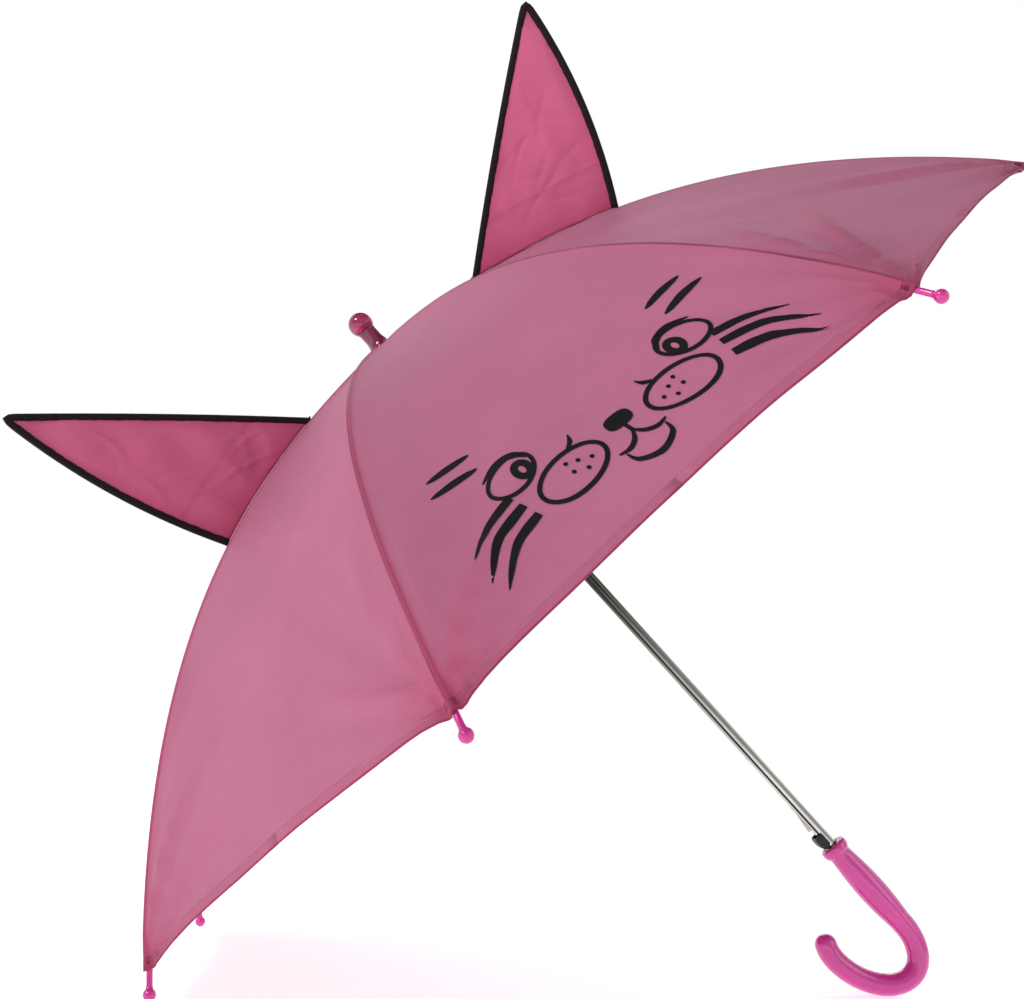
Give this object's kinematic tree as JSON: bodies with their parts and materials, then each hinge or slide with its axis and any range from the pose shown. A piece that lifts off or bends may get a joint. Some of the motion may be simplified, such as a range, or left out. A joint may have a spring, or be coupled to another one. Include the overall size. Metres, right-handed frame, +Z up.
{
  "type": "children's stick umbrella",
  "caption": "Children's stick umbrella with sewn-on cat ears, shown open: folding ribs and stretchers, sliding runner, spring catches, release button and hooked handle.",
  "frame": {"origin": "on the floor under the middle of the open umbrella's plan", "axes": "+Z up from the floor it lies on; the shaft runs along X, handle towards +X and ferrule up towards -X; Y is across, and the cat face is on the -Y side"},
  "size_m": [0.6452, 0.7474, 0.6443],
  "materials": {
    "canopy": "woven polyester, matt",
    "ear": "woven polyester, matt",
    "piping": "folded binding tape",
    "magenta_plastic": "glossy, translucent",
    "black_plastic": "moulded, semi-gloss",
    "white_plastic": "moulded, matt",
    "chrome": "polished plating",
    "steel": "zinc plated"
  },
  "bodies": {
    "shaft": {"shaft_tube": "chrome", "ferrule": "magenta_plastic", "top_notch": "white_plastic", "notch_wire": "steel", "crown_washer": "canopy", "notch_pin": "steel", "handle": "magenta_plastic", "handle_pin": "steel"},
    "runner": {"runner": "white_plastic"},
    "top_catch": {"top_catch": "steel"},
    "lower_catch": {"lower_catch": "steel", "release_button": "black_plastic"},
    "rib_1": {"rib_1": "steel", "rib_tip_1": "magenta_plastic", "rib_rivet_1": "steel", "canopy_panel_1": "canopy"},
    "stretcher_1": {"stretcher_1": "steel"},
    "rib_2": {"rib_2": "steel", "rib_tip_2": "magenta_plastic", "rib_rivet_2": "steel", "canopy_panel_2": "canopy", "closing_strap": "canopy", "strap_snap_cap": "steel", "strap_snap_post": "steel"},
    "stretcher_2": {"stretcher_2": "steel"},
    "rib_3": {"rib_3": "steel", "rib_tip_3": "magenta_plastic", "rib_rivet_3": "steel", "canopy_panel_3": "canopy"},
    "stretcher_3": {"stretcher_3": "steel"},
    "rib_4": {"rib_4": "steel", "rib_tip_4": "magenta_plastic", "rib_rivet_4": "steel", "canopy_panel_4": "canopy"},
    "stretcher_4": {"stretcher_4": "steel"},
    "rib_5": {"rib_5": "steel", "rib_tip_5": "magenta_plastic", "rib_rivet_5": "steel", "canopy_panel_5": "canopy", "ear_left": "ear", "ear_left_piping": "piping"},
    "stretcher_5": {"stretcher_5": "steel"},
    "rib_6": {"rib_6": "steel", "rib_tip_6": "magenta_plastic", "rib_rivet_6": "steel", "canopy_panel_6": "canopy"},
    "stretcher_6": {"stretcher_6": "steel"},
    "rib_7": {"rib_7": "steel", "rib_tip_7": "magenta_plastic", "rib_rivet_7": "steel", "canopy_panel_7": "canopy"},
    "stretcher_7": {"stretcher_7": "steel"},
    "rib_8": {"rib_8": "steel", "rib_tip_8": "magenta_plastic", "rib_rivet_8": "steel", "canopy_panel_8": "canopy", "ear_right": "ear", "ear_right_piping": "piping"},
    "stretcher_8": {"stretcher_8": "steel"}
  },
  "joints": [
    {"name": "rib_1_fold", "type": "hinge", "parent": "shaft", "child": "rib_1", "pos_m": [-0.08154, 0.00421, 0.42379], "axis": [-0.2643, 0.9239, -0.2768], "range_deg": [0, 60.63], "deforming": ["canopy_panel_1", "canopy_panel_2", "canopy_panel_3", "canopy_panel_4", "canopy_panel_5", "canopy_panel_6", "canopy_panel_7", "canopy_panel_8", "closing_strap", "top_catch", "lower_catch"]},
    {"name": "stretcher_1_fold", "type": "hinge", "parent": "rib_1", "child": "stretcher_1", "pos_m": [0.08184, 0.07841, 0.51548], "axis": [-0.2643, 0.9239, -0.2768], "range_deg": [-121.25, 0]},
    {"name": "rib_2_fold", "type": "hinge", "parent": "shaft", "child": "rib_2", "pos_m": [-0.08565, 0.01016, 0.41949], "axis": [-0.6381, 0.3827, -0.6682], "range_deg": [0, 60.63]},
    {"name": "stretcher_2_fold", "type": "hinge", "parent": "rib_2", "child": "stretcher_2", "pos_m": [0.00525, 0.18931, 0.43529], "axis": [-0.6381, 0.3827, -0.6682], "range_deg": [-121.25, 0]},
    {"name": "rib_3_fold", "type": "hinge", "parent": "shaft", "child": "rib_3", "pos_m": [-0.09147, 0.01016, 0.4134], "axis": [-0.6381, -0.3827, -0.6682], "range_deg": [0, 60.63]},
    {"name": "stretcher_3_fold", "type": "hinge", "parent": "rib_3", "child": "stretcher_3", "pos_m": [-0.10306, 0.18931, 0.32187], "axis": [-0.6381, -0.3827, -0.6682], "range_deg": [-121.25, 0]},
    {"name": "rib_4_fold", "type": "hinge", "parent": "shaft", "child": "rib_4", "pos_m": [-0.09558, 0.00421, 0.40909], "axis": [-0.2643, -0.9239, -0.2768], "range_deg": [0, 60.63]},
    {"name": "stretcher_4_fold", "type": "hinge", "parent": "rib_4", "child": "stretcher_4", "pos_m": [-0.17965, 0.07841, 0.24167], "axis": [-0.2643, -0.9239, -0.2768], "range_deg": [-121.25, 0]},
    {"name": "rib_5_fold", "type": "hinge", "parent": "shaft", "child": "rib_5", "pos_m": [-0.09558, -0.00421, 0.40909], "axis": [0.2643, -0.9239, 0.2768], "range_deg": [0, 60.63]},
    {"name": "stretcher_5_fold", "type": "hinge", "parent": "rib_5", "child": "stretcher_5", "pos_m": [-0.17965, -0.07841, 0.24167], "axis": [0.2643, -0.9239, 0.2768], "range_deg": [-121.25, 0]},
    {"name": "rib_6_fold", "type": "hinge", "parent": "shaft", "child": "rib_6", "pos_m": [-0.09147, -0.01016, 0.4134], "axis": [0.6381, -0.3827, 0.6682], "range_deg": [0, 60.63]},
    {"name": "stretcher_6_fold", "type": "hinge", "parent": "rib_6", "child": "stretcher_6", "pos_m": [-0.10306, -0.18931, 0.32187], "axis": [0.6381, -0.3827, 0.6682], "range_deg": [-121.25, 0]},
    {"name": "rib_7_fold", "type": "hinge", "parent": "shaft", "child": "rib_7", "pos_m": [-0.08565, -0.01016, 0.41949], "axis": [0.6381, 0.3827, 0.6682], "range_deg": [0, 60.63]},
    {"name": "stretcher_7_fold", "type": "hinge", "parent": "rib_7", "child": "stretcher_7", "pos_m": [0.00525, -0.18931, 0.43529], "axis": [0.6381, 0.3827, 0.6682], "range_deg": [-121.25, 0]},
    {"name": "rib_8_fold", "type": "hinge", "parent": "shaft", "child": "rib_8", "pos_m": [-0.08154, -0.00421, 0.42379], "axis": [0.2643, 0.9239, 0.2768], "range_deg": [0, 60.63]},
    {"name": "stretcher_8_fold", "type": "hinge", "parent": "rib_8", "child": "stretcher_8", "pos_m": [0.08184, -0.07841, 0.51548], "axis": [0.2643, 0.9239, 0.2768], "range_deg": [-121.25, 0]},
    {"name": "runner_slide", "type": "slide", "parent": "shaft", "child": "runner", "axis": [0.7232, 0, -0.6906], "range_m": [0, 0.28209]},
    {"name": "top_catch_press", "type": "hinge", "parent": "shaft", "child": "top_catch", "pos_m": [0.04934, 0, 0.2813], "axis": [0, 1, 0], "range_deg": [0, 4.2], "stiffness_Nm_per_rad": 4},
    {"name": "button_press", "type": "hinge", "parent": "shaft", "child": "lower_catch", "pos_m": [0.182, 0, 0.15461], "axis": [0, -1, 0], "range_deg": [0, 1.4], "stiffness_Nm_per_rad": 6}
  ],
  "couplings": [
    {"joint": "stretcher_1_fold", "follows": "rib_1_fold", "ratio": -2},
    {"joint": "rib_2_fold", "follows": "rib_1_fold", "ratio": 1},
    {"joint": "stretcher_2_fold", "follows": "rib_1_fold", "ratio": -2},
    {"joint": "rib_3_fold", "follows": "rib_1_fold", "ratio": 1},
    {"joint": "stretcher_3_fold", "follows": "rib_1_fold", "ratio": -2},
    {"joint": "rib_4_fold", "follows": "rib_1_fold", "ratio": 1},
    {"joint": "stretcher_4_fold", "follows": "rib_1_fold", "ratio": -2},
    {"joint": "rib_5_fold", "follows": "rib_1_fold", "ratio": 1},
    {"joint": "stretcher_5_fold", "follows": "rib_1_fold", "ratio": -2},
    {"joint": "rib_6_fold", "follows": "rib_1_fold", "ratio": 1},
    {"joint": "stretcher_6_fold", "follows": "rib_1_fold", "ratio": -2},
    {"joint": "rib_7_fold", "follows": "rib_1_fold", "ratio": 1},
    {"joint": "stretcher_7_fold", "follows": "rib_1_fold", "ratio": -2},
    {"joint": "rib_8_fold", "follows": "rib_1_fold", "ratio": 1},
    {"joint": "stretcher_8_fold", "follows": "rib_1_fold", "ratio": -2},
    {"joint": "runner_slide", "follows": "rib_1_fold", "m_per_rad": 0.26659}
  ]
}
